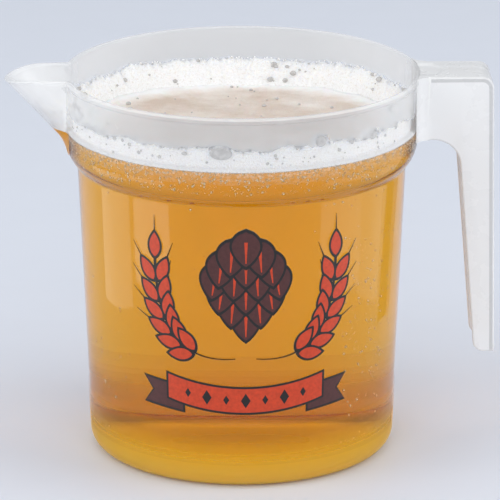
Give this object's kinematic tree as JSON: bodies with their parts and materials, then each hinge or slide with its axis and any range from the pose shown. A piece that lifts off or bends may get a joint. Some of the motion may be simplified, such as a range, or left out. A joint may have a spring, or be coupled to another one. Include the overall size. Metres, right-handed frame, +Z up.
{
  "type": "beer pitcher",
  "caption": "Milky plastic bar pitcher full of lager under a foam head, with a tapered barrel, wide collar, round pouring spout and open channel handle.",
  "frame": {"origin": "centre of the foot ring, on the barrel's axis, at the table", "axes": "+Z up along the barrel's axis, -X towards the spout's tip, +X towards the handle"},
  "size_m": [0.1896, 0.138, 0.15],
  "materials": {
    "milky_plastic": "milky translucent moulded polypropylene with a gloss skin",
    "lager": "clear golden liquid",
    "foam": "dense white foam with fine bubbles",
    "thin_foam": "thin tan foam over the liquid"
  },
  "bodies": {
    "root": {"pitcher_body": "milky_plastic", "pouring_spout": "milky_plastic", "handle": "milky_plastic", "beer": "lager", "foam_ring": "foam", "foam_film": "thin_foam"}
  },
  "joints": []
}
